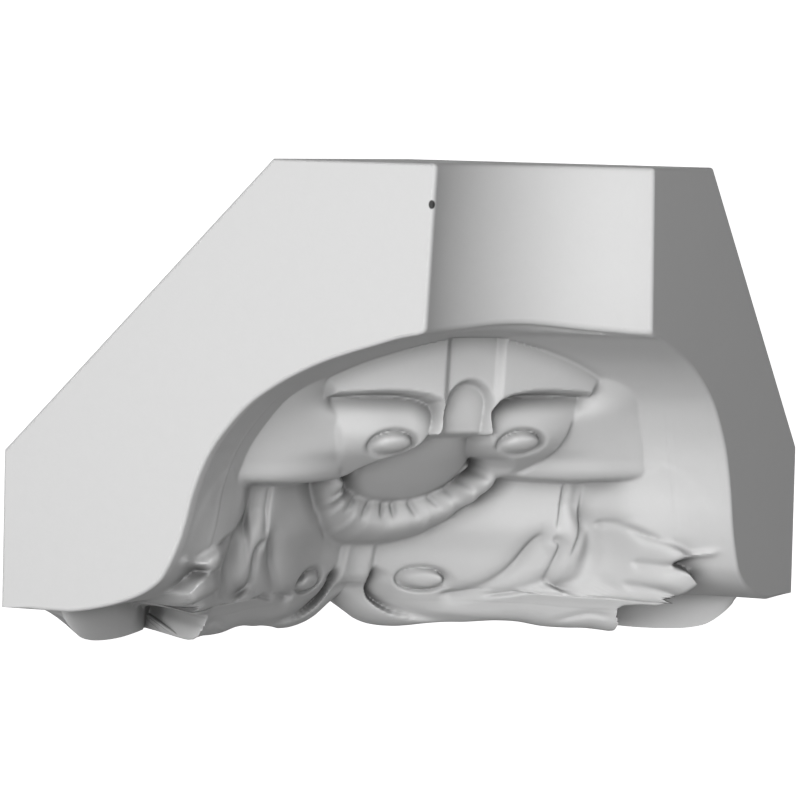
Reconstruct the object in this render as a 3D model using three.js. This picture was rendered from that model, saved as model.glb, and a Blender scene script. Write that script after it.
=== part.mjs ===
import * as THREE from "three";

// Inside corner block of a crown moulding, moulded in one piece with its ornament. Millimetres, +Z up.
// The shape is worked out from the corner of the room, where both walls and the ceiling meet, and then moved
// so that the origin is on the ceiling face, where the centre lines of its two arms cross.
//
// A place on the front is given by two sizes: "across", sideways from the diagonal of the corner, and "down",
// below the ceiling. How far the front stands out from the corner of the room, along the diagonal, is "out".
// Both halves are alike, so every outline is of one half.

const LENGTH = 205; // from the corner of the room to each end face
const PROJECTION = 152; // of the fascia from the wall, at the ceiling
const CEILING_START = 95; // from the wall to the back edge of the ceiling face
const WALL_TOP = 98; // from the ceiling to the upper edge of the wall faces
const DROP = 150; // from the ceiling to the foot of the cove
const FOOT = 25; // from the wall to the front of the cove's foot
const FASCIA = 54; // height of the fascia
const FASCIA_LEAN = 2.3; // the fascia draws back this much on its way down
const FASCIA_RISE = 2.6; // its lower edge is this much higher in the middle
const FASCIA_RISE_REACH = 22;
const FASCIA_RISE_ENDS = [30, 37];
const COVE_LEVEL = 60; // below this the rows lie level
const ROW_GATHER = 1.05; // more than 1 where the rows lie closer together at the top of the cove
const INNER_RADIUS = 26; // of the ornament where its two halves meet
const END_CENTRE = 60; // a place inside every end face: this far from the wall and below the ceiling
const ARRIS = 1.6; // chamfer of the end faces and of the fascia's upper edge
const FASCIA_ARRIS = 2.4; // chamfer of the fascia's lower edge

const CARVED = 108; // half width of the carved middle
const COLUMNS_CARVED = 76;
const COLUMNS_PLAIN = 4; // on each side of the carved middle
const ROWS_COVE = 40;
const ROWS_LAND = 3;
const ROWS_HANGING = 5;
const EDGE = 2; // width over which one layer of the relief steps to the next
const COLLAR_EDGE = 3;
const SOFT = 0.45; // half width over which the two sides of a crease meet

// Profile of the cove: distance below the ceiling, distance from the wall.
const COVE = [
  [54.3, 147], [55.5, 141], [58.5, 131.3], [61.1, 123.1], [64.1, 114.8], [67.8, 106.6], [72.4, 98.2],
  [78.7, 89.2], [86.8, 81.5], [94.8, 75.7], [102.8, 71.9], [110.7, 69.2], [118.6, 67.2], [126.5, 64.6],
  [134.5, 60.5], [138.6, 57.2], [143, 50.6], [146.5, 41.5], [149, 31.5], [DROP, FOOT],
];
// Profile of the leaves over its lower part.
const LEAF_PROFILE = [
  [100, 73], [104, 72], [112, 70], [120, 68], [128, 66], [136, 62], [143, 59.5], [149, 57], [153, 54],
  [157, 51.5], [161, 49.5], [165, 46.5], [168, 43],
];

// Outlines in across and down.
const PANEL = [
  [-20, 40], [58, 40], [50.5, 69], [46.5, 77.3], [40, 76.8], [30, 76.2], [22, 76.4], [15, 77.5], [10.5, 79.5],
  [9, 82], [-20, 82],
];
const TONGUE = [[-20, 78], [16, 78], [16, 91.2], [-20, 91.2]];
const VOLUTE = [
  [10.5, 78], [22, 75], [35, 75], [44.5, 76], [43, 84], [40.5, 92], [37.5, 99], [33, 105], [29, 105],
  [24, 101.5], [17, 98.5], [12, 94], [9.8, 88], [9, 83],
];
const WING = [
  [44, 56], [56, 60], [66, 76], [73, 87], [77, 97], [75, 104], [69, 107.3], [58, 108.6], [44, 108.8],
  [33, 108], [28, 104], [36, 90], [42, 76],
];
const COLLAR = [
  [26, 98], [33, 103], [31.5, 111], [27.5, 118.6], [22.8, 126], [18.5, 130.5], [14, 133], [8, 134.5],
  [-20, 134.8], [-20, 112], [16, 108],
];
const ARCH = [
  [65.1, 125], [67.2, 122.9], [70.2, 122.9], [72.9, 124], [77.1, 126], [81.3, 128], [85.6, 130.4],
  [88.8, 132.5],
];
const LEAF = [
  [-20, 90], [50, 95], [76, 100], [76, 118], ...ARCH.slice(2), [95.7, 130.4], [94.2, 132.4], [89.5, 133],
  [84.1, 135.8], [88.5, 137.7], [91.3, 140.2], [94, 143.1], [92, 146.4], [90.6, 149], [88.5, 150.7],
  [84.5, 152.1], [79.9, 152.6], [77.4, 153.2], [76.7, 154.2], [77, 156.2], [77.9, 158.2], [79, 163],
  [79, 172], [-20, 172],
];
const SKIN = [
  [60, 97], [72.6, 99.5], [77, 101], [81.4, 103.1], [86.3, 107.6], [90.2, 113.6], [92.8, 119.6],
  [94.4, 125.1], [95.7, 130.4], [92, 133], ...ARCH.toReversed(), [60, 124],
];
// Lower edge of the ornament: across, down.
const BOTTOM = [
  [0, 157.5], [4, 161], [9, 165], [15, 167.2], [22, 167.3], [28, 165.6], [34, 164.3], [40, 163.6],
  [47, 162.3], [53, 162], [60, 163], [66, 163], [72, 162.6], [86, 163.6], [95, 164], [104, 163.7],
  [111, 162.7], [116, 160.7], [121.5, 155.4], [123.8, 152], [124.5, DROP],
];

// Creases of the leaves: a line, how deep it is, how wide the surface on its left rolls down into it, how
// wide the surface on its right climbs out again, and the shares of its length over which its ends fade.
const CREASES = [
  {
    line: [
      [52.5, 129.3], [49.5, 129.6], [47.5, 133], [45.5, 138.5], [42.5, 143.5], [38, 148.3], [32.5, 151.5],
      [26, 152.6],
    ],
    depth: 4.5, left: 7, right: 7, fade: [0.12, 0.12],
  },
  {
    line: [
      [51.3, 129.5], [54.6, 130.6], [55.8, 132.5], [55.7, 135.6], [55.1, 140], [54.8, 144.3], [55.2, 146.4],
    ],
    depth: 3.2, left: 4, right: 3, fade: [0.15, 0.15],
  },
  {
    line: [[60.4, 108], [60.8, 118], [61, 124.7], [60.3, 128.4], [59.7, 132.6], [58.4, 138.3]],
    depth: 1.8, left: 1, right: 4, fade: [0.25, 0.25],
  },
  {
    line: [
      [37, 153.3], [43.4, 151.6], [48.5, 150], [53.3, 147.5], [56.3, 146.9], [60.1, 148.6], [63.4, 149],
      [67.3, 148.2], [70.9, 146.4], [73.8, 144.8],
    ],
    depth: 3.2, left: 1.6, right: 9, fade: [0.12, 0.12],
  },
  {
    line: [
      [94.5, 131.6], [91, 133], [86.4, 134.4], [83.2, 136], [80.4, 136.3], [77.6, 136.1], [73.8, 136.5],
    ],
    depth: 3.4, left: 3, right: 5.5, fade: [0.1, 0.1],
  },
  {
    line: [[89.4, 147.5], [85.9, 146.3], [82.8, 145.2], [80.8, 144.8], [77.7, 144.4], [73.3, 144.8]],
    depth: 3.2, left: 3, right: 5, fade: [0.1, 0.1],
  },
  { line: ARCH.toReversed(), depth: 3.4, left: 0.8, right: 5.5, fade: [0.1, 0.1] },
  { line: [[53.4, 108], [53.5, 119], [53, 128]], depth: 1.6, left: 1.2, right: 4, fade: [0.2, 0.2] },
  {
    line: [
      [52, 163.4], [41, 162.9], [30, 162.9], [19, 161], [13.5, 158.6], [9.5, 155.4], [7.6, 151.6], [7.4, 147],
      [8.2, 144],
    ],
    depth: 7, left: 8, right: 1.6, fade: [0.55, 0.12],
  },
];

const clamp = THREE.MathUtils.clamp;
const smooth = THREE.MathUtils.smoothstep;
const ROOT2 = Math.SQRT2;
const bell = (x) => Math.exp(-x * x);

// Smooth curve through a list of [place, value], held level past its ends.
function through(list, place) {
  const x = clamp(place, list[0][0], list.at(-1)[0]);
  let i = 0;
  while (i < list.length - 2 && x > list[i + 1][0]) i += 1;
  const slope = (k) => {
    const before = list[Math.max(k - 1, 0)];
    const after = list[Math.min(k + 1, list.length - 1)];
    return (after[1] - before[1]) / (after[0] - before[0]);
  };
  const [x0, y0] = list[i];
  const [x1, y1] = list[i + 1];
  const w = x1 - x0;
  const t = (x - x0) / w;
  return (
    y0 * (1 + 2 * t) * (1 - t) ** 2 + slope(i) * w * t * (1 - t) ** 2 +
    y1 * t * t * (3 - 2 * t) + slope(i + 1) * w * t * t * (t - 1)
  );
}

// Points of a smooth line, or of a smooth closed outline, through the given ones.
function curve(points, closed = false) {
  const path = new THREE.CatmullRomCurve3(
    points.map(([x, y]) => new THREE.Vector3(x, y, 0)), closed, "catmullrom", 0.5,
  );
  return path.getPoints(points.length * 4).map((p) => [p.x, p.y]);
}

// Distance from a place to a line, whether the place is on its left, and how far along the line it is.
function near(line, across, down) {
  let distance = Infinity;
  let left = false;
  let along = 0;
  for (let i = 0; i + 1 < line.length; i += 1) {
    const ex = line[i + 1][0] - line[i][0];
    const ey = line[i + 1][1] - line[i][1];
    const px = across - line[i][0];
    const py = down - line[i][1];
    const t = clamp((px * ex + py * ey) / (ex * ex + ey * ey), 0, 1);
    const d = Math.hypot(px - t * ex, py - t * ey);
    if (d < distance) {
      distance = d;
      left = ex * py - ey * px > 0;
      along = (i + t) / (line.length - 1);
    }
  }
  return { distance, left, along };
}

// Depth of a place inside a closed outline, less than nothing outside.
function inside(outline, across, down) {
  let within = false;
  outline.forEach(([x0, y0], i) => {
    const [x1, y1] = outline[(i + 1) % outline.length];
    if (y0 > down !== y1 > down && across < ((x1 - x0) * (down - y0)) / (y1 - y0) + x0) within = !within;
  });
  const { distance } = near([...outline, outline[0]], across, down);
  return within ? distance : -distance;
}

// A surface with the given profile on both walls, its inside corner rounded to the given radius.
function mitre(across, fromWall, radius) {
  if (across > radius / ROOT2) return across + ROOT2 * fromWall;
  return ROOT2 * (fromWall + radius) - Math.sqrt(radius * radius - across * across);
}

// An oval button: its height over the surface around it, with a ring groove at its rim.
function button(across, down, { at, half, height, ring }) {
  const r = Math.hypot((across - at[0]) / half[0], (down - at[1]) / half[1]);
  return height * Math.sqrt(Math.max(1 - r * r, 0)) - ring * bell((r - 1.1) / 0.2);
}

const creases = CREASES.map((c) => ({ ...c, line: curve(c.line) }));

function crease(across, down, { line, depth, left: rollWidth, right: climbWidth, fade }) {
  const { distance, left, along } = near(line, across, down);
  const held = smooth(along, 0, fade[0]) * (1 - smooth(along, 1 - fade[1], 1));
  const side = smooth(left ? distance : -distance, -SOFT, SOFT);
  const rolls = 1 - Math.min(Math.hypot(distance, SOFT / 2) / rollWidth, 1);
  const climbs = 1 - Math.min(distance / climbWidth, 1);
  return -depth * held * (side * (1 - Math.sqrt(1 - rolls ** 2)) + (1 - side) * climbs ** 2);
}

// Leaves of the lower part, with a hollow along their outer side and a stem between their scrolls.
const HOLLOW_AT = [[118, 61], [130, 67], [143, 66], [148, 60]];
const HOLLOW_DEPTH = [[104, 9], [118, 9], [130, 12], [143, 7], [150, 0]];
const HOLLOW_REACH = 6;
const BANK = { upper: 10, lower: 8, from: 124 };
const TIPS = { rise: 8, starts: [72, 82], ends: [84, 100], top: [123, 131], low: [142, 150] };
const BELLY = { rise: 2.5, at: 36, reach: 11, top: [114, 128], foot: [146, 156] };
const STEM = { rise: 3.5, side: [3.8, 7.4], top: [128, 136], foot: [147, 153] };
const LIE_BACK = { depth: 6, reach: 9, top: [118, 130] };
const UPPER_SCROLL = { at: [23, 93.5], half: [6.8, 3.7], height: 3.2, ring: 2.2 };
const LOWER_SCROLL = { at: [21.4, 147.6], half: [5.8, 3.7], height: 2.6, ring: 2.8 };
function leaf(across, down) {
  let out = mitre(across, through(LEAF_PROFILE, down), INNER_RADIUS);
  out -= LIE_BACK.depth * bell(across / LIE_BACK.reach) * smooth(down, ...LIE_BACK.top);
  const beyond = across - through(HOLLOW_AT, down);
  const bank = down < BANK.from ? BANK.upper : BANK.lower;
  const sunk = beyond < 0
    ? bell(beyond / HOLLOW_REACH)
    : 0.5 + 0.5 * Math.cos(Math.min(beyond / bank, 1) * Math.PI);
  out -= through(HOLLOW_DEPTH, down) * sunk;
  const tips = smooth(across, ...TIPS.starts) * (1 - smooth(across, ...TIPS.ends));
  out += TIPS.rise * tips * smooth(down, ...TIPS.top) * (1 - smooth(down, ...TIPS.low) / 2);
  const belly = bell((across - BELLY.at) / BELLY.reach) * smooth(down, ...BELLY.top);
  out += BELLY.rise * belly * (1 - smooth(down, ...BELLY.foot));
  for (const each of creases) out += crease(across, down, each);
  const stem = (1 - smooth(across, ...STEM.side)) * smooth(down, ...STEM.top);
  out += STEM.rise * stem * (1 - smooth(down, ...STEM.foot));
  return out + button(across, down, LOWER_SCROLL);
}

// Sheet beside the leaves: how far it stands out of the cove.
const SKIN_RISE = 0.35;
const SKIN_SWELL = { rise: 4, top: [106, 130], ends: [76, 95] };
function skin(across, down) {
  const swell = SKIN_SWELL.rise * smooth(down, ...SKIN_SWELL.top) * (1 - smooth(across, ...SKIN_SWELL.ends));
  return share(SKIN, across, down) * (SKIN_RISE + swell);
}

// Wing that rises from the cove on each side.
const WING_OUT = [
  [62, 203], [69, 197.6], [77, 190.4], [84.5, 184], [92, 179.3], [100, 175.6], [106, 173], [110, 165],
];
const WING_DIP = [[72, 0.028], [78, 0.026], [84, 0.004], [89, 0], [96, 0.0015], [100, 0.008], [106, 0.013]];
const WING_DIP_FROM = 62;
function wing(across, down) {
  return through(WING_OUT, down) - through(WING_DIP, down) * Math.max(WING_DIP_FROM - across, 0) ** 2;
}

// Scroll between the wing and the middle.
const VOLUTE_OUT = [
  [75, 180.5], [78, 183], [83, 186], [89, 187], [93, 185], [97, 180], [101, 171.5], [106, 160],
];
const VOLUTE_FALL = [[75, 0.003], [82, 0.009], [89, 0.0139], [100, 0.0139]];
const VOLUTE_INNER = { from: 17, fall: 0.03 };
const VOLUTE_OUTER_FROM = 24;
function volute(across, down) {
  const outer = through(VOLUTE_FALL, down) * Math.max(across - VOLUTE_OUTER_FROM, 0) ** 2;
  const inner = VOLUTE_INNER.fall * Math.max(VOLUTE_INNER.from - across, 0) ** 2;
  return through(VOLUTE_OUT, down) - outer - inner + button(across, down, UPPER_SCROLL);
}

// Panel at the top, with a flat channel down its middle that ends in a round-headed niche, and its tongue,
// whose sides slope back beside the channel.
const PANEL_OUT = 197.5;
const PANEL_FOOT = 77;
const PANEL_BEND = 0.0035;
const PANEL_SLOPE = 0.1;
const CHANNEL_SIDE = [7.8, 10.8];
const CHANNEL_DEPTH = 2.4;
const CHANNEL_FALL = { depth: 0.9, length: 7, most: 3, power: 1.6 };
const FLANK = { slope: 1.3, half: 9.8, draw: 0.18, from: 80 };
const NICHE = { radius: 8.3, head: 80.5, depth: 6, rim: [0.84, 1.03] };
function panel(across, down) {
  let out = PANEL_OUT - PANEL_BEND * across * across + PANEL_SLOPE * (PANEL_FOOT - down);
  const held = 1 - smooth(across, ...CHANNEL_SIDE);
  const fall = clamp((down - PANEL_FOOT) / CHANNEL_FALL.length, 0, CHANNEL_FALL.most) ** CHANNEL_FALL.power;
  out -= held * (CHANNEL_DEPTH + CHANNEL_FALL.depth * fall);
  const beyond = Math.max(across - FLANK.half + FLANK.draw * (down - FLANK.from), 0);
  out -= FLANK.slope * beyond * smooth(down, PANEL_FOOT, FLANK.from);
  const r = Math.hypot(across, Math.min(down - NICHE.head, 0)) / NICHE.radius;
  return out - NICHE.depth * (1 - smooth(r, ...NICHE.rim));
}

// Round boss under the panel, and the fluted collar around its foot.
const BOSS_TOP = 91.2;
const BOSS_FOOT = 118.2;
const BOSS_FRONT = [
  [BOSS_TOP, 174], [94, 171.5], [100, 162], [104, 154], [108, 146], [112, 137.5], [116, 128],
  [BOSS_FOOT, 121],
];
const BOSS_SIDE = [[BOSS_TOP, 136], [100, 133], [106, 131], [112, 127], [116, 124], [BOSS_FOOT, 121]];
const BOSS_HALF = [
  [BOSS_TOP, 19.5], [95, 20.8], [99, 22], [103, 22.6], [107, 21.8], [110, 20.2], [113, 17], [116, 11.5],
  [117.5, 6.5], [BOSS_FOOT, 2],
];
function boss(across, down) {
  const half = through(BOSS_HALF, down);
  if (across >= half || down < BOSS_TOP || down > BOSS_FOOT) return 0;
  const side = through(BOSS_SIDE, down);
  return side + (through(BOSS_FRONT, down) - side) * Math.sqrt(1 - (across / half) ** 2);
}
const RIM = [[25.5, 100], [23.5, 106], [20.5, 110], [17, 113], [11.5, 116], [6.5, 117.5], [0, BOSS_FOOT]];
const RIM_OUT = [[0, 134], [0.3, 130], [0.6, 125.5], [1, 121]];
const LIP_OUT = [[0, 150.5], [0.25, 146], [0.45, 134], [0.7, 126], [1, 122.5]];
const LIP_WIDTH = [[0, 7.5], [0.3, 9.5], [0.6, 13], [1, 16.6]];
const LIP_FALL = [[0, 4], [0.3, 5], [0.6, 9], [1, 18]];
const LIP_CREST = 0.62;
const LIP_TURN = 0.45;
const LIP_MOST = 1.2;
const FLUTES = [
  [[24.5, 101.5], [30.5, 105.5]], [[24.3, 106.2], [29.5, 110]], [[22, 110.3], [27.5, 114.5]],
  [[18.8, 113.4], [24.5, 118.2]], [[13.8, 116.6], [19.5, 121.8]], [[7.5, 118.9], [11.5, 125]],
  [[1.8, 119.4], [2.6, 125]],
];
const FLUTE_DEPTH = 1.7;
const FLUTE_REACH = 0.9;
const FLUTE_ENDS = [0.4, 1];
function collar(across, down) {
  const { distance, along } = near(RIM, across, down);
  const f = Math.min(distance / through(LIP_WIDTH, along), LIP_MOST);
  const rim = through(RIM_OUT, along);
  let out = rim + (through(LIP_OUT, along) - rim) * Math.sin((Math.min(f / LIP_CREST, 1) * Math.PI) / 2);
  out -= Math.max((f - LIP_TURN) / (1 - LIP_TURN), 0) ** 2 * through(LIP_FALL, along);
  for (const flute of FLUTES) {
    const cut = near(flute, across, down);
    out -= FLUTE_DEPTH * bell(cut.distance / FLUTE_REACH) * (1 - smooth(cut.along, ...FLUTE_ENDS));
  }
  return out;
}

// Share of a layer at a place: whole inside its outline, none outside, with a short ramp between.
function share(outline, across, down, ramp = EDGE) {
  return smooth(inside(outline, across, down), -ramp / 2, ramp / 2);
}

// The whole front. Each layer replaces what is under it within its own outline.
const upperLayers = [
  [curve(WING, true), wing], [TONGUE, panel], [curve(VOLUTE, true), volute], [PANEL, panel],
];
const LOST = { starts: [63, 74], foot: [119, 123.5] }; // where the leaf sinks into the sheet
function front(across, down, under) {
  let out = under + skin(across, down);
  const lost = smooth(across, ...LOST.starts) * (1 - smooth(down, ...LOST.foot));
  out += share(LEAF, across, down) * (1 - lost) * (leaf(across, down) - out);
  out += share(COLLAR, across, down, COLLAR_EDGE) * (collar(across, down) - out);
  out = Math.max(out, boss(across, down));
  for (const [outline, surface] of upperLayers) {
    out += share(outline, across, down) * (Math.max(under, surface(across, down)) - out);
  }
  return out;
}

// Part of the ornament that hangs below the foot of the cove, near the wall.
const HANGING = { at: 100, half: 25, fromWall: 14, bulge: 5, draft: 2 };
const HANGING_BACK = 0.35; // the back of what hangs reaches down this share of its height
const bottom = (across) => (across < BOTTOM.at(-1)[0] ? through(BOTTOM, across) : DROP);
function hangingFromWall(across, fall) {
  const r = Math.min(Math.abs(across - HANGING.at) / HANGING.half, 1);
  return HANGING.fromWall + HANGING.bulge * Math.sqrt(1 - r * r) - HANGING.draft * fall;
}

// Columns of places over the block. Each has a side, which is -1 or 1 beyond the carved middle and 0 on it,
// and its place there: from 0 at the end face to 1 at the carving, or from -1 to 1 across the carving.
const columns = [];
for (let i = 0; i < COLUMNS_PLAIN; i += 1) columns.push([-1, i / COLUMNS_PLAIN]);
for (let i = 0; i <= COLUMNS_CARVED; i += 1) columns.push([0, (2 * i) / COLUMNS_CARVED - 1]);
for (let i = COLUMNS_PLAIN - 1; i >= 0; i -= 1) columns.push([1, i / COLUMNS_PLAIN]);
const mostAcross = (fromWall) => (LENGTH - ARRIS - fromWall) / ROOT2;
function placesAcross(fromWall) {
  const most = mostAcross(fromWall);
  const carved = most * CARVED / mostAcross(FOOT);
  return columns.map(([side, t]) => (side ? side * (most + (carved - most) * t) : carved * t));
}

// One row of places, from the chamfer of one end face to that of the other.
const rows = [];
function addRow(fromWall, downAt, outAt) {
  rows.push(placesAcross(fromWall).map((across) => {
    const a = Math.abs(across);
    const down = downAt(a);
    const out = Math.max(outAt(a, down), a);
    return new THREE.Vector3((out + across) / ROOT2, (out - across) / ROOT2, -down);
  }));
}

// Ceiling face and fascia, whose lower edge is higher in the middle but level at the end faces.
const rise = (a) => FASCIA_RISE * bell(a / FASCIA_RISE_REACH) * (1 - smooth(a, ...FASCIA_RISE_ENDS));
function addFasciaRow(fromWall, down, risen) {
  addRow(fromWall, (a) => down - rise(a) * risen, (a) => mitre(a, fromWall, LENGTH - fromWall));
}
const fasciaFoot = FASCIA - FASCIA_ARRIS;
const footFromWall = PROJECTION - FASCIA_LEAN * fasciaFoot / FASCIA;
addRow(CEILING_START, () => 0, (a) => a + ROOT2 * CEILING_START);
addFasciaRow(PROJECTION - ARRIS, 0, 0);
addFasciaRow(PROJECTION, ARRIS, 0);
addFasciaRow(footFromWall, fasciaFoot, 1);
addFasciaRow(footFromWall - FASCIA_ARRIS, FASCIA, 1);

// Cove and ornament.
for (let i = 0; i <= ROWS_COVE; i += 1) {
  const level = COVE[0][0] + (DROP - COVE[0][0]) * (i / ROWS_COVE) ** ROW_GATHER;
  const top = 1 - smooth(level, FASCIA, COVE_LEVEL);
  const radius = Math.max((LENGTH - PROJECTION) * top, 1);
  addRow(
    through(COVE, level),
    (a) => level - rise(a) * top,
    (a, down) => front(a, down, mitre(a, through(COVE, down), radius)),
  );
}

// What reaches below the foot of the cove, its lower edge rolled under.
const ROLL = { depth: 9, height: 6, ends: [78, 82] };
const LEAF_ENDS = [82, 85];
function rolledUnder(across, down) {
  const turned = clamp(1 - (bottom(across) - down) / ROLL.height, 0, 1);
  return ROLL.depth * (1 - Math.sqrt(1 - turned ** 2)) * (1 - smooth(across, ...ROLL.ends));
}
for (let i = 1; i <= ROWS_LAND + ROWS_HANGING; i += 1) {
  const land = Math.min(i / ROWS_LAND, 1);
  const fall = Math.max(i - ROWS_LAND, 0) / ROWS_HANGING;
  addRow(
    FOOT * (1 - land) + hangingFromWall(LENGTH, fall) * land,
    (a) => {
      const first = HANGING_BACK * land * (1 - smooth(a, ...LEAF_ENDS));
      return DROP + (first + (1 - first) * fall) * (bottom(a) - DROP);
    },
    (a, down) => {
      const fromWall = FOOT * (1 - land) + hangingFromWall(a, fall) * land;
      return front(a, down, a + ROOT2 * fromWall) - rolledUnder(a, down);
    },
  );
}
addRow(0, (a) => DROP + HANGING_BACK * (bottom(a) - DROP), (a) => a);
addRow(0, () => WALL_TOP, (a) => a);

// Chamfer at both end faces: the last ring of the rows, moved on to the face and drawn in from its outline.
function endRing(column, axis) {
  const ring = rows.map((row) => row.at(column));
  return ring.map((place, k) => {
    const step = ring[(k + 1) % ring.length].clone().sub(ring.at(k - 1));
    const inwards = axis === "x" ? [0, step.z, -step.y] : [step.z, 0, -step.x];
    const moved = place.clone().addScaledVector(new THREE.Vector3(...inwards).normalize(), ARRIS);
    moved[axis] = LENGTH;
    return moved;
  });
}
const firstRing = endRing(0, "y");
const lastRing = endRing(-1, "x");
rows.forEach((row, k) => {
  row.unshift(firstRing[k]);
  row.push(lastRing[k]);
});

// Skin over the rows, and the two end faces.
const width = columns.length + 2;
const index = [];
const at = (row, column) => (row % rows.length) * width + column;
const corners = rows.flat();
for (let row = 0; row < rows.length; row += 1) {
  for (let column = 0; column + 1 < width; column += 1) {
    const [a, b, c, d] = [at(row, column), at(row, column + 1), at(row + 1, column + 1), at(row + 1, column)];
    const flip = corners[a].distanceTo(corners[c]) > corners[b].distanceTo(corners[d]);
    index.push(...(flip ? [a, b, d, b, c, d] : [a, c, d, a, b, c]));
  }
}
const endCentres = [
  new THREE.Vector3(END_CENTRE, LENGTH, -END_CENTRE), new THREE.Vector3(LENGTH, END_CENTRE, -END_CENTRE),
];
endCentres.forEach((centre, end) => {
  const column = end * (width - 1);
  const middle = corners.push(centre) - 1;
  rows.forEach((row, k) => {
    const side = [at(k, column), at(k + 1, column)];
    index.push(middle, ...(end ? side.reverse() : side));
  });
});
const origin = new THREE.Vector3(1, 1, 0).multiplyScalar((CEILING_START + PROJECTION) / 2);
const geometry = new THREE.BufferGeometry()
  .setFromPoints(corners.map((p) => p.clone().sub(origin)))
  .setIndex(index);
geometry.computeVertexNormals();

const primed = new THREE.MeshStandardMaterial({ color: 0xd9d9d8, roughness: 0.6, flatShading: true });
const block = new THREE.Mesh(geometry, primed);
block.name = "inside_corner_block";
const moulding = new THREE.Group();
moulding.name = "crown_moulding_inside_corner";
moulding.add(block);
export default moulding;
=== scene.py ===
import math

import bpy
import numpy as np
from mathutils import Matrix, Vector


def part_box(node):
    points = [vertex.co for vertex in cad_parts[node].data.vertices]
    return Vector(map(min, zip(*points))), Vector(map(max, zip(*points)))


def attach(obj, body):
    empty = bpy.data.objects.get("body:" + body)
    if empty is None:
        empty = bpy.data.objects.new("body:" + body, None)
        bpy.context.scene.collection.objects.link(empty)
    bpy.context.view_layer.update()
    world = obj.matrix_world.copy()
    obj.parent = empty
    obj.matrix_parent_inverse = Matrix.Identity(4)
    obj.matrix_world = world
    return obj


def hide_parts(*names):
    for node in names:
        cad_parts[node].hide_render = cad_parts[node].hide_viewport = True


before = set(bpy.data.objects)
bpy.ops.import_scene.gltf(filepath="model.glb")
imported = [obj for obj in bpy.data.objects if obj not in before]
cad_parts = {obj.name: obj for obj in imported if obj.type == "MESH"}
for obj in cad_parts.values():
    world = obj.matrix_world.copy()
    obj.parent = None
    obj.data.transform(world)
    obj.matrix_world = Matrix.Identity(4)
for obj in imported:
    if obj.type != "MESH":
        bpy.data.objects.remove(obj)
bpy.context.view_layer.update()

# Inside corner block of a crown moulding, dressed with its fine carving and its primer.
#
# The carving is worked out in millimetres from the corner of the room, where both walls and the ceiling meet.
# A place on the front is given by "across", sideways from the diagonal of the corner, and "down", below the
# ceiling. "Out" is how far the front stands out along the diagonal. Both halves are alike, so every outline
# is of one half.

ROOT2 = math.sqrt(2)

LENGTH = 205.0  # from the corner of the room to each end face
PROJECTION = 152.0  # of the fascia from the wall, at the ceiling
CEILING_START = 95.0  # from the wall to the back edge of the ceiling face
WALL_TOP = 98.0  # from the ceiling to the upper edge of the wall faces
DROP = 150.0  # from the ceiling to the foot of the cove
FOOT = 25.0  # from the wall to the front of the cove's foot
FASCIA = 54.0
FASCIA_LEAN = 2.3
FASCIA_RISE = 2.6
FASCIA_RISE_REACH = 22.0
FASCIA_RISE_ENDS = (30, 37)
COVE_LEVEL = 60.0  # below this the rows lie level
INNER_RADIUS = 26.0
ARRIS = 1.6
END_INSET = 1.2
FASCIA_ARRIS = 2.4
END_CENTRE = 60.0  # a place inside every end face: this far from the wall and below the ceiling

CARVED = 108.0  # half width of the carved middle
COLUMNS_CARVED = 440
COLUMNS_PLAIN = 14
ARRIS_STEPS = 4
ROWS_FASCIA = 3
ROWS_COVE = 146
ROW_GATHER = 1.05
ROWS_LAND = 14
ROWS_HANGING = 16
EDGE = 0.9  # width over which one layer steps to the next
LEAF_EDGE = 2.2
COLLAR_EDGE = 3
SOFT = 0.45  # half width over which the two sides of a crease meet

# Profile of the cove: distance below the ceiling, distance from the wall.
COVE = [
    (54.3, 147), (55.5, 141), (58.5, 131.3), (61.1, 123.1), (64.1, 114.8), (67.8, 106.6), (72.4, 98.2),
    (78.7, 89.2), (86.8, 81.5), (94.8, 75.7), (102.8, 71.9), (110.7, 69.2), (118.6, 67.2), (126.5, 64.6),
    (134.5, 60.5), (138.6, 57.2), (143, 50.6), (146.5, 41.5), (149, 31.5), (DROP, FOOT),
]
# Profile of the leaves over its lower part.
LEAF_PROFILE = [
    (100, 73), (104, 72), (112, 70), (120, 68), (128, 66), (136, 62), (143, 59.5), (149, 57), (153, 54),
    (157, 51.5), (161, 49.5), (165, 46.5), (168, 43),
]

# Outlines in across and down.
PANEL = [
    (-20, 40), (58, 40), (50.5, 69), (46.5, 77.3), (40, 76.8), (30, 76.2), (22, 76.4), (15, 77.5),
    (10.5, 79.5), (9, 82), (-20, 82),
]
TONGUE = [(-20, 78), (16, 78), (16, 91.2), (-20, 91.2)]
VOLUTE = [
    (10.5, 78), (22, 75), (35, 75), (44.5, 76), (43, 84), (40.5, 92), (37.5, 99), (33, 105), (29, 105),
    (24, 101.5), (17, 98.5), (12, 94), (9.8, 88), (9, 83),
]
WING = [
    (44, 56), (56, 60), (66, 76), (73, 87), (77, 97), (75, 104), (69, 107.3), (58, 108.6), (44, 108.8),
    (33, 108), (28, 104), (36, 90), (42, 76),
]
COLLAR = [
    (26, 98), (33, 103), (31.5, 111), (27.5, 118.6), (22.8, 126), (18.5, 130.5), (14, 133), (8, 134.5),
    (-20, 134.8), (-20, 112), (16, 108),
]
ARCH = [
    (65.1, 125), (67.2, 122.9), (70.2, 122.9), (72.9, 124), (77.1, 126), (81.3, 128), (85.6, 130.4),
    (88.8, 132.5),
]
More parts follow.
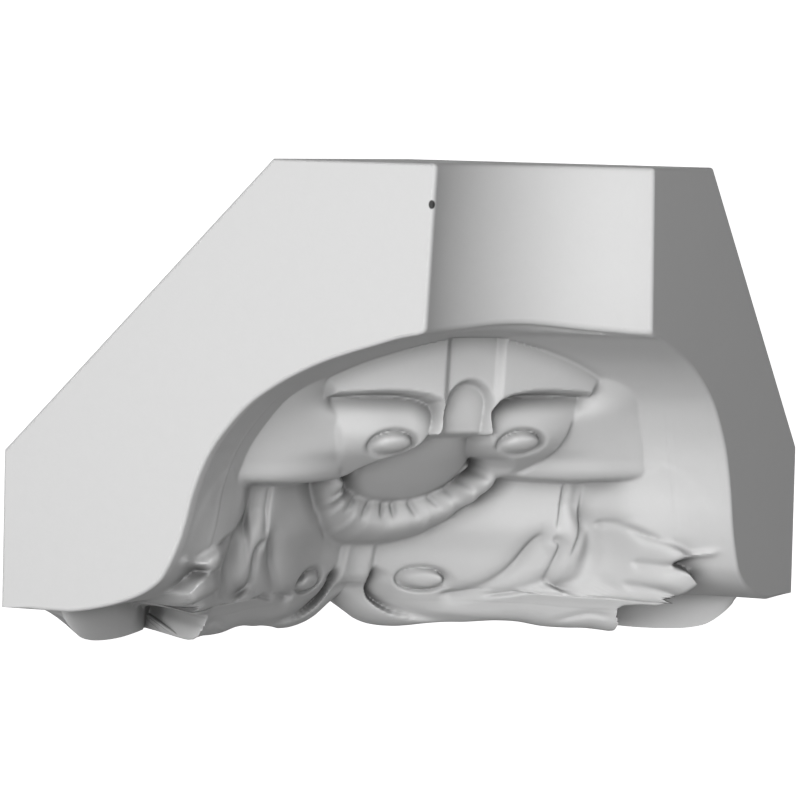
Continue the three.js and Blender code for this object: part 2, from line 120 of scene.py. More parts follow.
LEAF = [
    (-20, 90), (50, 95), (76, 100), (76, 118), *ARCH[2:], (95.7, 130.4), (94.2, 132.4), (89.5, 133),
    (84.1, 135.8), (88.5, 137.7), (91.3, 140.2), (94, 143.1), (92, 146.4), (90.6, 149), (88.5, 150.7),
    (84.5, 152.1), (79.9, 152.6), (77.4, 153.2), (76.7, 154.2), (77, 156.2), (77.9, 158.2), (79, 163),
    (79, 172), (-20, 172),
]
SKIN = [
    (60, 97), (72.6, 99.5), (77, 101), (81.4, 103.1), (86.3, 107.6), (90.2, 113.6), (92.8, 119.6),
    (94.4, 125.1), (95.7, 130.4), (92, 133), *ARCH[::-1], (60, 124),
]
# Lower edge of the ornament: across, down.
BOTTOM = [
    (0, 157.5), (4, 161), (9, 165), (15, 167.2), (22, 167.3), (28, 165.6), (34, 164.3), (40, 163.6),
    (47, 162.3), (53, 162), (60, 163), (66, 163), (72, 162.6), (86, 163.6), (95, 164), (104, 163.7),
    (111, 162.7), (116, 160.7), (121.5, 155.4), (123.8, 152), (124.5, DROP),
]

# Creases of the leaves: a line, how deep it is, how wide the surface on its left rolls down into it, how
# wide the surface on its right climbs out again, and the shares of its length over which its ends fade.
CREASE_DEPTH = 1.3  # how much deeper the creases are cut here than in the plain solid
CREASES = [
    dict(
        line=[(52.5, 129.3), (49.5, 129.6), (47.5, 133), (45.5, 138.5), (42.5, 143.5), (38, 148.3),
              (32.5, 151.5), (26, 152.6)],
        depth=4.5, left=7, right=7, fade=(0.12, 0.12),
    ),
    dict(
        line=[(51.3, 129.5), (54.6, 130.6), (55.8, 132.5), (55.7, 135.6), (55.1, 140), (54.8, 144.3),
              (55.2, 146.4)],
        depth=3.2, left=4, right=3, fade=(0.15, 0.15),
    ),
    dict(
        line=[(60.4, 108), (60.8, 118), (61, 124.7), (60.3, 128.4), (59.7, 132.6), (58.4, 138.3)],
        depth=1.8, left=1, right=4, fade=(0.25, 0.25),
    ),
    dict(
        line=[(37, 153.3), (43.4, 151.6), (48.5, 150), (53.3, 147.5), (56.3, 146.9), (60.1, 148.6),
              (63.4, 149), (67.3, 148.2), (70.9, 146.4), (73.8, 144.8)],
        depth=3.2, left=1.6, right=9, fade=(0.12, 0.12),
    ),
    dict(
        line=[(94.5, 131.6), (91, 133), (86.4, 134.4), (83.2, 136), (80.4, 136.3), (77.6, 136.1),
              (73.8, 136.5)],
        depth=3.4, left=3, right=5.5, fade=(0.1, 0.1),
    ),
    dict(
        line=[(89.4, 147.5), (85.9, 146.3), (82.8, 145.2), (80.8, 144.8), (77.7, 144.4), (73.3, 144.8)],
        depth=3.2, left=3, right=5, fade=(0.1, 0.1),
    ),
    dict(line=ARCH[::-1], depth=3.4, left=0.8, right=5.5, fade=(0.1, 0.1)),
    dict(line=[(53.4, 108), (53.5, 119), (53, 128)], depth=1.6, left=1.2, right=4, fade=(0.2, 0.2)),
    dict(
        line=[(52, 163.4), (41, 162.9), (30, 162.9), (19, 161), (13.5, 158.6), (9.5, 155.4), (7.6, 151.6),
              (7.4, 147), (8.2, 144)],
        depth=7, left=8, right=1.6, fade=(0.55, 0.12),
    ),
    dict(
        line=[(58, 161.6), (48, 162), (38, 161.4), (28, 161), (20, 159.2), (15.5, 156.8)],
        depth=1.1, left=1.2, right=1.2, fade=(0.3, 0.3),
    ),
    dict(
        line=[(57.9, 161.3), (64.5, 158.5), (68.3, 156.9), (71.7, 157.1), (75.7, 158.1)],
        depth=1.6, left=1.4, right=3, fade=(0.25, 0.25),
    ),
]


def smooth(value, low, high):
    t = np.clip((value - low) / (high - low), 0, 1)
    return t * t * (3 - 2 * t)


def fades(value, low, high):
    return 1 - smooth(value, low, high)


def bell(value):
    return np.exp(-np.square(value))


def through(pairs, place):
    """Smooth curve through pairs of place and value, held level past its ends."""
    xs, ys = np.array(pairs, float).T
    before = np.maximum(np.arange(len(xs)) - 1, 0)
    after = np.minimum(np.arange(len(xs)) + 1, len(xs) - 1)
    slopes = (ys[after] - ys[before]) / (xs[after] - xs[before])
    x = np.clip(place, xs[0], xs[-1])
    i = np.clip(np.searchsorted(xs, x, side="left") - 1, 0, len(xs) - 2)
    w = xs[i + 1] - xs[i]
    t = (x - xs[i]) / w
    return (
        ys[i] * (1 + 2 * t) * (1 - t) ** 2 + slopes[i] * w * t * (1 - t) ** 2
        + ys[i + 1] * t * t * (3 - 2 * t) + slopes[i + 1] * w * t * t * (t - 1)
    )


def curve(points, closed=False, steps=5):
    """Points of a smooth line, or of a smooth closed outline, through the given ones."""
    p = np.array(points, float)
    count = len(p) if closed else len(p) - 1
    if closed:
        p = np.vstack([p[-1], p, p[0], p[1]])
    else:
        p = np.vstack([2 * p[0] - p[1], p, 2 * p[-1] - p[-2]])
    out = []
    for i in range(count):
        p0, p1, p2, p3 = p[i:i + 4]
        for t in np.arange(steps) / steps:
            bend = (2 * p0 - 5 * p1 + 4 * p2 - p3) * t ** 2 + (3 * p1 - p0 - 3 * p2 + p3) * t ** 3
            out.append((2 * p1 + (p2 - p0) * t + bend) / 2)
    if not closed:
        out.append(p[-2])
    return np.array(out)


def near(line, across, down):
    """Distance to a line, whether the place is on its left, and how far along the line it is."""
    line = np.asarray(line, float)
    shape = np.broadcast(across, down).shape
    distance = np.full(shape, np.inf)
    left = np.zeros(shape, bool)
    along = np.zeros(shape)
    count = len(line) - 1
    for i in range(count):
        ex, ey = line[i + 1] - line[i]
        px, py = across - line[i][0], down - line[i][1]
        t = np.clip((px * ex + py * ey) / (ex * ex + ey * ey), 0, 1)
        d = np.hypot(px - t * ex, py - t * ey)
        closer = d < distance
        distance = np.where(closer, d, distance)
        left = np.where(closer, ex * py - ey * px > 0, left)
        along = np.where(closer, (i + t) / count, along)
    return distance, left, along


def inside(outline, across, down):
    """Depth of a place inside a closed outline, less than nothing outside."""
    outline = np.asarray(outline, float)
    within = np.zeros(np.broadcast(across, down).shape, bool)
    for (x0, y0), (x1, y1) in zip(outline, np.roll(outline, -1, axis=0)):
        if y0 != y1:
            crossing = (x1 - x0) * (down - y0) / (y1 - y0) + x0
            within ^= ((y0 > down) != (y1 > down)) & (across < crossing)
    distance, _, _ = near(np.vstack([outline, outline[:1]]), across, down)
    return np.where(within, distance, -distance)


def share(outline, across, down, ramp=EDGE):
    """Share of a layer at a place: whole inside its outline, none outside, with a short ramp between."""
    return smooth(inside(outline, across, down), -ramp / 2, ramp / 2)


def mitre(across, from_wall, radius):
    """A surface with one profile on both walls, its inside corner rounded."""
    rounded = ROOT2 * (from_wall + radius) - np.sqrt(np.maximum(radius * radius - across * across, 0))
    return np.where(across > radius / ROOT2, across + ROOT2 * from_wall, rounded)


def button(across, down, at, half, height, ring):
    """An oval button: its height over the surface around it, with a ring groove at its rim."""
    r = np.hypot((across - at[0]) / half[0], (down - at[1]) / half[1])
    return height * np.sqrt(np.maximum(1 - r * r, 0)) - ring * bell((r - 1.1) / 0.2)


def crease(across, down, line, depth, left, right, fade):
    distance, on_left, along = near(curve(line), across, down)
    held = smooth(along, 0, fade[0]) * fades(along, 1 - fade[1], 1)
    side = smooth(np.where(on_left, distance, -distance), -SOFT, SOFT)
    rolls = 1 - np.minimum(np.hypot(distance, SOFT / 2) / left, 1)
    climbs = 1 - np.minimum(distance / right, 1)
    cut = side * (1 - np.sqrt(1 - rolls ** 2)) + (1 - side) * climbs ** 2
    return -CREASE_DEPTH * depth * held * cut


# Leaves of the lower part, with a hollow along their outer side and a stem between their scrolls.
HOLLOW_AT = [(118, 61), (130, 67), (143, 66), (148, 60)]
HOLLOW_DEPTH = [(104, 9), (118, 9), (130, 12), (143, 7), (150, 0)]
HOLLOW_REACH = 6
BANK_FROM, BANK_UPPER, BANK_LOWER = 124, 10, 8
TIPS = dict(rise=8, starts=(72, 82), ends=(84, 100), top=(123, 131), low=(142, 150))
BELLY = dict(rise=2.5, at=36, reach=11, top=(114, 128), foot=(146, 156))
STEM = dict(rise=3.5, side=(3.8, 7.4), top=(128, 136), foot=(147, 153))
LIE_BACK = dict(depth=6, reach=9, top=(118, 130))
UPPER_SCROLL = dict(at=(23, 93.5), half=(6.8, 3.7), height=3.4, ring=3.0)
LOWER_SCROLL = dict(at=(21.4, 147.6), half=(5.8, 3.7), height=2.8, ring=3.6)


def leaf(across, down):
    out = mitre(across, through(LEAF_PROFILE, down), INNER_RADIUS)
    out = out - LIE_BACK["depth"] * bell(across / LIE_BACK["reach"]) * smooth(down, *LIE_BACK["top"])
    beyond = across - through(HOLLOW_AT, down)
    bank = np.where(down < BANK_FROM, BANK_UPPER, BANK_LOWER)
    climb = 0.5 + 0.5 * np.cos(np.clip(beyond / bank, 0, 1) * math.pi)
    out = out - through(HOLLOW_DEPTH, down) * np.where(beyond < 0, bell(beyond / HOLLOW_REACH), climb)
    tips = smooth(across, *TIPS["starts"]) * fades(across, *TIPS["ends"])
    out = out + TIPS["rise"] * tips * smooth(down, *TIPS["top"]) * (1 - smooth(down, *TIPS["low"]) / 2)
    belly = bell((across - BELLY["at"]) / BELLY["reach"]) * smooth(down, *BELLY["top"])
    out = out + BELLY["rise"] * belly * fades(down, *BELLY["foot"])
    for each in CREASES:
        out = out + crease(across, down, **each)
    stem = fades(across, *STEM["side"]) * smooth(down, *STEM["top"])
    out = out + STEM["rise"] * stem * fades(down, *STEM["foot"])
    return out + button(across, down, **LOWER_SCROLL)


SKIN_RISE = 0.35
SKIN_SWELL = dict(rise=4, top=(106, 130), ends=(76, 95))


def skin(across, down):
    """Sheet beside the leaves: how far it stands out of the cove."""
    swell = SKIN_SWELL["rise"] * smooth(down, *SKIN_SWELL["top"]) * fades(across, *SKIN_SWELL["ends"])
    return share(SKIN, across, down) * (SKIN_RISE + swell)


WING_OUT = [
    (62, 203), (69, 197.6), (77, 190.4), (84.5, 184), (92, 179.3), (100, 175.6), (106, 173), (110, 165),
]
WING_DIP = [(72, 0.028), (78, 0.026), (84, 0.004), (89, 0), (96, 0.0015), (100, 0.008), (106, 0.013)]
WING_DIP_FROM = 62


def wing(across, down):
    """Wing that rises from the cove on each side."""
    return through(WING_OUT, down) - through(WING_DIP, down) * np.maximum(WING_DIP_FROM - across, 0) ** 2


VOLUTE_OUT = [(75, 180.5), (78, 183), (83, 186), (89, 187), (93, 185), (97, 180), (101, 171.5), (106, 160)]
VOLUTE_FALL = [(75, 0.003), (82, 0.009), (89, 0.0139), (100, 0.0139)]
VOLUTE_OUTER_FROM = 24
VOLUTE_INNER_FROM, VOLUTE_INNER_FALL = 17, 0.03


def volute(across, down):
    """Scroll between the wing and the middle."""
    outer = through(VOLUTE_FALL, down) * np.maximum(across - VOLUTE_OUTER_FROM, 0) ** 2
    inner = VOLUTE_INNER_FALL * np.maximum(VOLUTE_INNER_FROM - across, 0) ** 2
    return through(VOLUTE_OUT, down) - (outer + inner) + button(across, down, **UPPER_SCROLL)


PANEL_OUT, PANEL_FOOT, PANEL_BEND, PANEL_SLOPE = 197.5, 77, 0.0035, 0.1
CHANNEL_SIDE = (7.8, 10.8)
CHANNEL_DEPTH = 2.4
CHANNEL_FALL = dict(depth=0.9, length=7, most=3, power=1.6)
FLANK = dict(slope=1.3, half=9.8, draw=0.18, start=80)
NICHE = dict(radius=8.3, head=80.5, depth=6, rim=(0.92, 1.03))


def panel(across, down):
    """Panel with a flat channel that ends in a round-headed niche, and a tongue with sloping sides."""
    out = PANEL_OUT - PANEL_BEND * across * across + PANEL_SLOPE * (PANEL_FOOT - down)
    fall = np.clip((down - PANEL_FOOT) / CHANNEL_FALL["length"], 0, CHANNEL_FALL["most"])
    sunk = CHANNEL_DEPTH + CHANNEL_FALL["depth"] * fall ** CHANNEL_FALL["power"]
    out = out - fades(across, *CHANNEL_SIDE) * sunk
    beyond = np.maximum(across - FLANK["half"] + FLANK["draw"] * (down - FLANK["start"]), 0)
    out = out - FLANK["slope"] * beyond * smooth(down, PANEL_FOOT, FLANK["start"])
    r = np.hypot(across, np.minimum(down - NICHE["head"], 0)) / NICHE["radius"]
    return out - NICHE["depth"] * fades(r, *NICHE["rim"])


BOSS_TOP, BOSS_FOOT = 91.2, 118.2
BOSS_FRONT = [
    (BOSS_TOP, 174), (94, 171.5), (100, 162), (104, 154), (108, 146), (112, 137.5), (116, 128),
    (BOSS_FOOT, 121),
]
BOSS_SIDE = [(BOSS_TOP, 136), (100, 133), (106, 131), (112, 127), (116, 124), (BOSS_FOOT, 121)]
BOSS_HALF = [
    (BOSS_TOP, 19.5), (95, 20.8), (99, 22), (103, 22.6), (107, 21.8), (110, 20.2), (113, 17), (116, 11.5),
    (117.5, 6.5), (BOSS_FOOT, 2),
]


def boss(across, down):
    """Round boss under the panel, and nothing beside it."""
    half = through(BOSS_HALF, down)
    side = through(BOSS_SIDE, down)
    out = side + (through(BOSS_FRONT, down) - side) * np.sqrt(np.clip(1 - (across / half) ** 2, 0, 1))
    return np.where((across < half) & (down > BOSS_TOP) & (down < BOSS_FOOT), out, 0)


RIM = [(25.5, 100), (23.5, 106), (20.5, 110), (17, 113), (11.5, 116), (6.5, 117.5), (0, BOSS_FOOT)]
RIM_OUT = [(0, 134), (0.3, 130), (0.6, 125.5), (1, 121)]
LIP_OUT = [(0, 150.5), (0.25, 146), (0.45, 134), (0.7, 126), (1, 122.5)]
LIP_WIDTH = [(0, 7.5), (0.3, 9.5), (0.6, 13), (1, 16.6)]
LIP_FALL = [(0, 4), (0.3, 5), (0.6, 9), (1, 18)]
LIP_CREST, LIP_TURN, LIP_MOST = 0.62, 0.45, 1.2
FLUTES = [
    [(24.5, 101.5), (30.5, 105.5)], [(24.3, 106.2), (29.5, 110)], [(22, 110.3), (27.5, 114.5)],
    [(18.8, 113.4), (24.5, 118.2)], [(13.8, 116.6), (19.5, 121.8)], [(7.5, 118.9), (11.5, 125)],
    [(1.8, 119.4), (2.6, 125)],
]
FLUTE_DEPTH, FLUTE_REACH, FLUTE_ENDS = 1.7, 0.9, (0.4, 1)


def collar(across, down):
    """Fluted collar around the foot of the boss."""
    distance, _, along = near(RIM, across, down)
    f = np.minimum(distance / through(LIP_WIDTH, along), LIP_MOST)
    rim = through(RIM_OUT, along)
    lip = (through(LIP_OUT, along) - rim) * np.sin(np.minimum(f / LIP_CREST, 1) * math.pi / 2)
    out = rim + lip - np.maximum((f - LIP_TURN) / (1 - LIP_TURN), 0) ** 2 * through(LIP_FALL, along)
    for flute in FLUTES:
        distance, _, along = near(flute, across, down)
        out = out - FLUTE_DEPTH * bell(distance / FLUTE_REACH) * fades(along, *FLUTE_ENDS)
    return out


LOST = dict(starts=(63, 74), foot=(119, 123.5))  # where the leaf sinks into the sheet


def front(across, down, under):
    """The whole front. Each layer replaces what is under it within its own outline."""
    out = under + skin(across, down)
    lost = smooth(across, *LOST["starts"]) * fades(down, *LOST["foot"])
    out = out + share(LEAF, across, down, LEAF_EDGE) * (1 - lost) * (leaf(across, down) - out)
    out = out + share(COLLAR, across, down, COLLAR_EDGE) * (collar(across, down) - out)
    out = np.maximum(out, boss(across, down))
    upper_layers = (curve(WING, True), wing), (TONGUE, panel), (curve(VOLUTE, True), volute), (PANEL, panel)
    for outline, surface in upper_layers:
        out = out + share(outline, across, down) * (np.maximum(under, surface(across, down)) - out)
    return out


SOFTENING_PASSES = 2
SOFTENED_ACROSS, SOFTENED_DOWN = (98, 104), (60, 64)


def softened(out, across, down):
    """The carving with its edges rounded a little, as they are under a coat of primer."""
    where = fades(across, *SOFTENED_ACROSS) * smooth(down, *SOFTENED_DOWN)
    for _ in range(SOFTENING_PASSES):
        padded = np.pad(out, 1, mode="edge")
        tall = (padded[:-2] + 2 * padded[1:-1] + padded[2:]) / 4
        wide = (tall[:, :-2] + 2 * tall[:, 1:-1] + tall[:, 2:]) / 4
        out = out + where * (wide - out)
    return out


# The rows of the skin. Each runs over the block, from one end face to the other.
def across_places(from_wall):
    most = (LENGTH - ARRIS - from_wall) / ROOT2
    carved = most * CARVED / ((LENGTH - ARRIS - FOOT) / ROOT2)
    beyond = most + (carved - most) * np.linspace(0, 1, COLUMNS_PLAIN + 1)[:-1]
    return np.concatenate([-beyond, carved * np.linspace(-1, 1, COLUMNS_CARVED + 1), beyond[::-1]])


def to_points(across, out, down):
    return np.stack(np.broadcast_arrays((out + across) / ROOT2, (out - across) / ROOT2, -down), -1)


def rise(a):
    """How much higher than elsewhere the foot of the fascia is, which is nothing at the end faces."""
    return FASCIA_RISE * bell(a / FASCIA_RISE_REACH) * fades(a, *FASCIA_RISE_ENDS)


def flat_row(from_wall, down_at):
    """A row that keeps one distance from both walls, with a sharp inside corner."""
    across = across_places(from_wall)
    a = np.abs(across)
    return to_points(across, a + ROOT2 * from_wall, down_at(a))


def fascia_row(from_wall, down, risen):
    across = across_places(from_wall)
    a = np.abs(across)
    return to_points(across, mitre(a, from_wall, LENGTH - from_wall), down - rise(a) * risen)


TURNS = np.linspace(0, math.pi / 2, ARRIS_STEPS + 1)


def fascia_rows():
    """Fascia, with the small rounds along its upper and lower edges."""
    foot = FASCIA - FASCIA_ARRIS
    rows = []
    for turn in TURNS:
        rows.append(fascia_row(PROJECTION - ARRIS * (1 - math.sin(turn)), ARRIS * (1 - math.cos(turn)), 0))
    for i in range(1, ROWS_FASCIA + 1):
        level = ARRIS + (foot - ARRIS) * i / ROWS_FASCIA
        rows.append(fascia_row(PROJECTION - FASCIA_LEAN * level / FASCIA, level, level / FASCIA))
    from_wall = PROJECTION - FASCIA_LEAN * foot / FASCIA
    for turn in TURNS[1:]:
        inset = FASCIA_ARRIS * (1 - math.cos(turn))
        rows.append(fascia_row(from_wall - inset, foot + FASCIA_ARRIS * math.sin(turn), 1))
    return rows


HANGING = dict(at=100.0, half=25.0, from_wall=14.0, bulge=5.0, draft=2.0)
HANGING_BACK = 0.35  # the back of what hangs reaches down this share of its height
LEAF_ENDS = (82, 85)
LIP_ROLL = dict(depth=9.0, height=6.0, ends=(78, 82))


def bottom(across):
    return np.where(across < BOTTOM[-1][0], through(BOTTOM, across), DROP)


def hanging_from_wall(across, fall):
    r = np.minimum(np.abs(across - HANGING["at"]) / HANGING["half"], 1)
    return HANGING["from_wall"] + HANGING["bulge"] * np.sqrt(1 - r * r) - HANGING["draft"] * fall


def cove_row(level):
    """Places of one row on the cove: across, down, and out without the carving."""
    top = fades(level, FASCIA, COVE_LEVEL)
    across = across_places(float(through(COVE, level)))
    a = np.abs(across)
    down = level - rise(a) * top
    return across, down, mitre(a, through(COVE, down), max((LENGTH - PROJECTION) * top, 1))


def hanging_row(land, fall):
    """Places of one row on the foot of the cove, or on what hangs below it."""
    across = across_places(FOOT * (1 - land) + float(hanging_from_wall(LENGTH, fall)) * land)
    a = np.abs(across)
    first = HANGING_BACK * land * fades(a, *LEAF_ENDS)
    down = DROP + (first + (1 - first) * fall) * (bottom(a) - DROP)
    return across, down, a + ROOT2 * (FOOT * (1 - land) + hanging_from_wall(a, fall) * land)


def carved_rows():
    """The cove with its ornament, and what hangs below its foot, its lower edge rolled under."""
    top = COVE[0][0]
    rows = [cove_row(top + (DROP - top) * (i / ROWS_COVE) ** ROW_GATHER) for i in range(ROWS_COVE + 1)]
    for i in range(1, ROWS_LAND + ROWS_HANGING + 1):
        rows.append(hanging_row(min(i / ROWS_LAND, 1), max(i - ROWS_LAND, 0) / ROWS_HANGING))
    across, down, under = (np.array(each) for each in zip(*rows))
    a = np.abs(across)
    out = softened(front(a, down, under), a, down)
    turned = np.clip(1 - (bottom(a) - down) / LIP_ROLL["height"], 0, 1)
    out = out - LIP_ROLL["depth"] * (1 - np.sqrt(1 - turned ** 2)) * fades(a, *LIP_ROLL["ends"])
    return to_points(across, np.maximum(out, a), down)


def with_ends(points):
    """The rows with a small round put on at both end faces."""
    columns = [points]
    for ring, axis in ((points[:, -1], 0), (points[:, 0], 1)):
        step = np.roll(ring, -1, axis=0) - np.roll(ring, 1, axis=0)
        across_wall, height = step[:, 1 - axis], step[:, 2]
        size = np.hypot(across_wall, height)
        extra = []
        for turn in TURNS[1:]:
            inset = END_INSET * (1 - math.cos(turn))
            moved = ring.copy()
            moved[:, axis] = LENGTH - ARRIS * (1 - math.sin(turn))
            moved[:, 1 - axis] += inset * height / size
            moved[:, 2] -= inset * across_wall / size
            extra.append(moved[:, None])
        columns = columns + extra if axis == 0 else extra[::-1] + columns
    return np.concatenate(columns, axis=1)


def skin_points():
    """All rows, one after another around the block's section."""
    ceiling = flat_row(CEILING_START, np.zeros_like)
    foot = flat_row(0, lambda a: DROP + HANGING_BACK * (bottom(a) - DROP))
    wall_top = flat_row(0, lambda a: np.full_like(a, WALL_TOP))
    rows = [ceiling, *fascia_rows(), *carved_rows(), foot, wall_top]
    return with_ends(np.array(rows))


# From here on everything is in metres, in the frame.
NODE = "inside_corner_block"
MM = 0.001
ORIGIN = (CEILING_START + PROJECTION) / 2  # of the frame, from each wall
STRIPS_BEHIND = 3  # the last strips, under the ornament, on the walls and on the slope behind, stay flat
SHARP_FROM = math.radians(42)


def in_frame(places):
    return (np.asarray(places) - (ORIGIN, ORIGIN, 0)) * MM


def block_mesh(points):
    """One closed mesh: a tube of the rows, and a fan of triangles on each end face."""
    low, high = (np.array(corner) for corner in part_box(NODE))
    count, width, _ = points.shape
    places = np.clip(in_frame(points.reshape(-1, 3)), low, high)
    centres = in_frame([(END_CENTRE, LENGTH, -END_CENTRE), (LENGTH, END_CENTRE, -END_CENTRE)])
    at = np.arange(count * width).reshape(count, width)
    after = np.roll(at, -1, axis=0)
    quads = np.stack([at[:, :-1], at[:, 1:], after[:, 1:], after[:, :-1]], -1).reshape(-1, 4).tolist()
    first = [(count * width, *edge) for edge in zip(at[:, 0].tolist(), after[:, 0].tolist())]
    last = [(count * width + 1, *edge) for edge in zip(after[:, -1].tolist(), at[:, -1].tolist())]
    faces = quads + first + last
    mesh = bpy.data.meshes.new(NODE + "_carved")
    mesh.from_pydata(np.vstack([places, centres]).tolist(), [], faces)
    behind = len(quads) - STRIPS_BEHIND * (width - 1)
    rounded = [width - 1 <= i < behind for i in range(len(faces))]
    mesh.set_sharp_from_angle(angle=SHARP_FROM)
    mesh.polygons.foreach_set("use_smooth", rounded)
    mesh.update()
    return mesh


def add_object(name, data):
    made = bpy.data.objects.new(name, data)
    bpy.context.collection.objects.link(made)
    return made


block = add_object(NODE + "_carved", block_mesh(skin_points()))
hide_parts(NODE)
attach(block, "root")


# Primer, with painted shade in its recesses and in one pinhole.
WHITE, SHADE, PINHOLE_SHADE = 0.56, 0.17, 0.03
RECESS_REACH = 0.009
RECESS_OPEN = (0.25, 0.92)  # how open a place is where it has its darkest and its lightest shade
MOTTLE = dict(scale=220, detail=6, roughness=0.8, tone=0.03, gloss=(0.52, 0.68))
GRAIN = dict(scale=900, detail=4, strength=0.12, height=0.0002)
SPECULAR = 0.35
PINHOLE = (0.0815, 0.0271, -0.0130)
PINHOLE_HALF = (0.0015, 0.0010, 0.0014)
PINHOLE_EDGE = (1.15, 0.85)


def add_noise(tree, coords, scale, detail):
    noise = tree.nodes.new("ShaderNodeTexNoise")
    noise.inputs["Scale"].default_value = scale
    noise.inputs["Detail"].default_value = detail
    tree.links.new(coords, noise.inputs["Vector"])
    return noise


def add_remap(tree, value, old, new):
    """The value moved from one range to another."""
    remap = tree.nodes.new("ShaderNodeMapRange")
    for name, number in zip(("From Min", "From Max", "To Min", "To Max"), (*old, *new)):
        remap.inputs[name].default_value = number
    tree.links.new(value, remap.inputs["Value"])
    return remap.outputs["Result"]


def add_vector_step(tree, operation, vector, by=None):
    step = tree.nodes.new("ShaderNodeVectorMath")
    step.operation = operation
    if by:
        step.inputs[1].default_value = by
    tree.links.new(vector, step.inputs[0])
    return step.outputs


def add_spot(tree, coords, place, size):
    """A share that is 1 at a place on the piece and falls to 0 outside an oval of the given half sizes."""
    moved = add_vector_step(tree, "SUBTRACT", coords, place)[0]
    scaled = add_vector_step(tree, "DIVIDE", moved, size)[0]
    length = add_vector_step(tree, "LENGTH", scaled)["Value"]
    return add_remap(tree, length, PINHOLE_EDGE, (0, 1))


def primed_material():
    """Matt white primer on a foam casting, with painted shade in its recesses and in one pinhole in the
    arris.
    """
    material = bpy.data.materials.new("primed")
    material.use_nodes = True
    tree = material.node_tree
    shader = tree.nodes["Principled BSDF"]
    shader.inputs["Specular IOR Level"].default_value = SPECULAR
    coords = tree.nodes.new("ShaderNodeTexCoord").outputs["Object"]

    # Painted shade: the base colour darkens where ambient occlusion finds the surface shut in, standing in
    # for shade in creases and hollows.
    recess = tree.nodes.new("ShaderNodeAmbientOcclusion")
    recess.inputs["Distance"].default_value = RECESS_REACH
    shade = add_remap(tree, recess.outputs["AO"], RECESS_OPEN, (SHADE, WHITE))

    mottle = add_noise(tree, coords, MOTTLE["scale"], MOTTLE["detail"])
    mottle.inputs["Roughness"].default_value = MOTTLE["roughness"]
    tone = add_remap(tree, mottle.outputs["Fac"], (0, 1), (1 - MOTTLE["tone"], 1 + MOTTLE["tone"]))
    gloss = add_remap(tree, mottle.outputs["Fac"], (0, 1), MOTTLE["gloss"])
    tree.links.new(gloss, shader.inputs["Roughness"])
    # Random mottle tone multiplied with the painted shade of the recesses.
    mottle_and_painted_shade = tree.nodes.new("ShaderNodeMath")
    mottle_and_painted_shade.operation = "MULTIPLY"
    tree.links.new(shade, mottle_and_painted_shade.inputs[0])
    tree.links.new(tone, mottle_and_painted_shade.inputs[1])

    # Painted shade: a near-black oval stands in for the shadow inside a pinhole on the arris.
    with_pinhole_shade = tree.nodes.new("ShaderNodeMix")
    with_pinhole_shade.inputs["B"].default_value = PINHOLE_SHADE
    tree.links.new(mottle_and_painted_shade.outputs["Value"], with_pinhole_shade.inputs["A"])
    tree.links.new(add_spot(tree, coords, PINHOLE, PINHOLE_HALF), with_pinhole_shade.inputs["Factor"])
    tree.links.new(with_pinhole_shade.outputs["Result"], shader.inputs["Base Color"])

    grain = add_noise(tree, coords, GRAIN["scale"], GRAIN["detail"])
    bump = tree.nodes.new("ShaderNodeBump")
    bump.inputs["Strength"].default_value = GRAIN["strength"]
    bump.inputs["Distance"].default_value = GRAIN["height"]
    tree.links.new(grain.outputs["Fac"], bump.inputs["Height"])
    tree.links.new(bump.outputs["Normal"], shader.inputs["Normal"])
    return material


block.data.materials.append(primed_material())

# Camera: azimuth from +X towards +Y, height angle and roll in radians, distance in metres from the aim point,
# which is measured from the corner of the room, and the offsets that set the photograph's frame.
AZIMUTH, ELEVATION, ROLL = 0.407986, 0.0577779, 0.0243503
AIM = np.array([0.1064, 0.1064, -0.076])
DISTANCE = 1.514384
SLIDE_RIGHT, SLIDE_UP = -0.0049622, 0.0022202
FOCAL_PIXELS = 4469.66
FRAME_PIXELS = 800
CENTRE_X, CENTRE_Y = 406.777, 377.832
SENSOR = 36.0
VIEW_END = 50


def direction(azimuth, elevation):
    level = math.cos(elevation)
    return np.array([level * math.cos(azimuth), level * math.sin(azimuth), math.sin(elevation)])


def add_camera():
    back = direction(AZIMUTH, ELEVATION)
    level_right = np.array([-math.sin(AZIMUTH), math.cos(AZIMUTH), 0])
    level_up = np.cross(back, level_right)
    right = math.cos(ROLL) * level_right + math.sin(ROLL) * level_up
    up = math.cos(ROLL) * level_up - math.sin(ROLL) * level_right
    corner = np.array([ORIGIN * MM, ORIGIN * MM, 0])
    spot = AIM + back * DISTANCE + right * SLIDE_RIGHT + up * SLIDE_UP - corner
    placed = np.eye(4)
    placed[:3] = np.stack([right, up, back, spot], 1)
    camera = add_object("camera", bpy.data.cameras.new("camera"))
    camera.matrix_world = Matrix(placed)
    camera.data.sensor_width = SENSOR
    camera.data.lens = FOCAL_PIXELS * SENSOR / FRAME_PIXELS
    camera.data.shift_x = (FRAME_PIXELS / 2 - CENTRE_X) / FRAME_PIXELS
    camera.data.shift_y = (CENTRE_Y - FRAME_PIXELS / 2) / FRAME_PIXELS
    camera.data.clip_end = VIEW_END
    return camera


bpy.context.scene.camera = add_camera()

# Lights: azimuth and height angle in degrees, and power in watts.
LIGHTS = {"key": (9, 11, 4.0), "front": (23, 0, 2.1), "left": (55, 6, 0.55), "right": (-15, 3, 2.1)}
LIGHT_SIZE = 0.8
LIGHT_DISTANCE = 1.6
LIGHT_SPREAD = math.radians(90)
LIGHT_AIM = Vector((0, 0, -0.08))


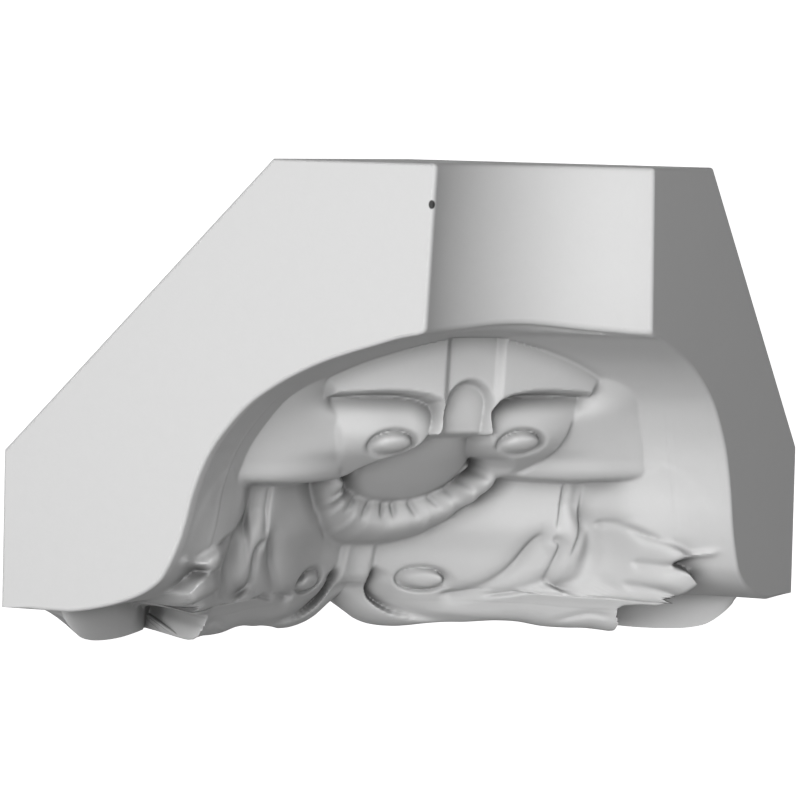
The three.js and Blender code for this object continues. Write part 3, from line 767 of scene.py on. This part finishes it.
def add_light(name, azimuth, elevation, power):
    """A soft square light, aimed at the block."""
    light = bpy.data.lights.new(name, "AREA")
    light.size = LIGHT_SIZE
    light.spread = LIGHT_SPREAD
    light.energy = power
    made = add_object(name, light)
    towards = Vector(direction(math.radians(azimuth), math.radians(elevation)))
    made.location = towards * LIGHT_DISTANCE + LIGHT_AIM
    made.rotation_euler = towards.to_track_quat("Z", "Y").to_euler()


for light_name, settings in LIGHTS.items():
    add_light(light_name, *settings)

# Studio: a pale floor and a white backdrop that glows.
FLOOR = -1.0
FLOOR_FROM, FLOOR_TO = -8, 4
BACKDROP_TOP = 3
BACKDROP_HALF = 6.0
BACKDROP_BEHIND = 3.5
SHEET_ROUGHNESS = 0.9
WORLD_STRENGTH = 0.02


def add_sheet(name, corners, grey, glow):
    mesh = bpy.data.meshes.new(name)
    mesh.from_pydata(corners, [], [(0, 1, 2, 3)])
    material = bpy.data.materials.new(name)
    material.use_nodes = True
    shader = material.node_tree.nodes["Principled BSDF"]
    shader.inputs["Base Color"].default_value = (grey, grey, grey, 1)
    shader.inputs["Roughness"].default_value = SHEET_ROUGHNESS
    shader.inputs["Emission Color"].default_value = (1, 1, 1, 1)
    shader.inputs["Emission Strength"].default_value = glow
    mesh.materials.append(material)
    add_object(name, mesh)


def backdrop_corners():
    middle = -BACKDROP_BEHIND * direction(AZIMUTH, 0)
    sideways = BACKDROP_HALF * np.array([-math.sin(AZIMUTH), math.cos(AZIMUTH), 0])
    sides = ((-1, FLOOR), (1, FLOOR), (1, BACKDROP_TOP), (-1, BACKDROP_TOP))
    return [tuple(middle + sideways * side + (0, 0, height)) for side, height in sides]


floor_sides = (
    (FLOOR_FROM, FLOOR_FROM), (FLOOR_TO, FLOOR_FROM), (FLOOR_TO, FLOOR_TO), (FLOOR_FROM, FLOOR_TO),
)
add_sheet("floor", [(x, y, FLOOR) for x, y in floor_sides], grey=0.7, glow=0.0)
add_sheet("backdrop", backdrop_corners(), grey=0.9, glow=1.0)

world = bpy.data.worlds.new("studio")
world.use_nodes = True
world.node_tree.nodes["Background"].inputs["Color"].default_value = (1, 1, 1, 1)
world.node_tree.nodes["Background"].inputs["Strength"].default_value = WORLD_STRENGTH
bpy.context.scene.world = world
bpy.context.scene.view_settings.view_transform = "Standard"
